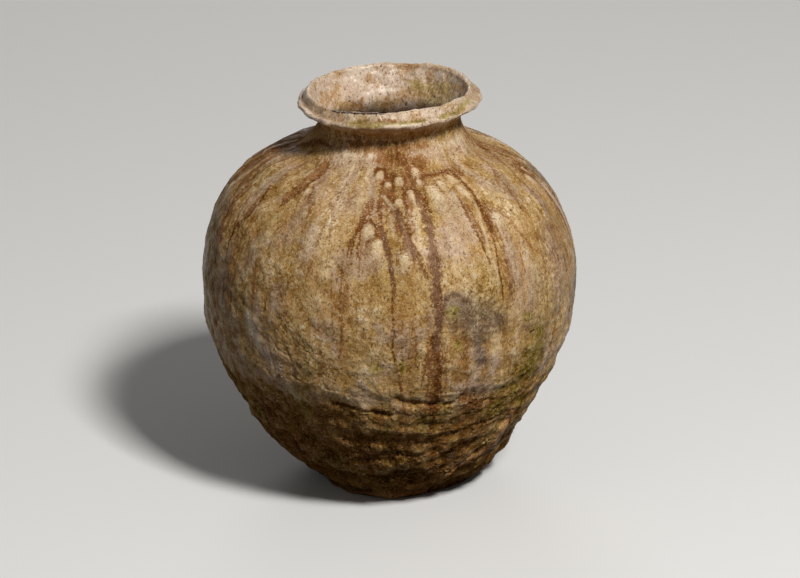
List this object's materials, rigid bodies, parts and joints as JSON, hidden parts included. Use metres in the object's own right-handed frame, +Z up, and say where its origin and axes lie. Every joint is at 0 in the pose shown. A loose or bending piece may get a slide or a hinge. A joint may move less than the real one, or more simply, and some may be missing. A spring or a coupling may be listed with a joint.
{
  "type": "storage jar",
  "caption": "Hand-built round stoneware storage jar with a short neck, a grooved lip and a runny ash glaze, open at the top.",
  "frame": {"origin": "on the floor, under the middle of the jar's bounding box", "axes": "+Z up along the jar's height, out of the mouth; the front of the jar, with the main brown run, faces -Y"},
  "size_m": [0.3742, 0.375, 0.4108],
  "materials": {
    "ash_glaze": "satin, runny natural ash glaze over rough clay",
    "bare_clay": "matt, coarse fired clay with thin ash"
  },
  "bodies": {
    "root": {"base_disc": "bare_clay", "lower_coil_1": "bare_clay", "lower_coil_2": "ash_glaze", "lower_coil_3": "ash_glaze", "lower_coil_4": "ash_glaze", "upper_coil_1": "ash_glaze", "upper_coil_2": "ash_glaze", "upper_coil_3": "ash_glaze", "upper_coil_4": "ash_glaze", "upper_coil_5": "ash_glaze", "upper_coil_6": "ash_glaze", "upper_coil_7": "ash_glaze", "neck_collar": "ash_glaze", "rim_lip": "ash_glaze"}
  },
  "joints": []
}
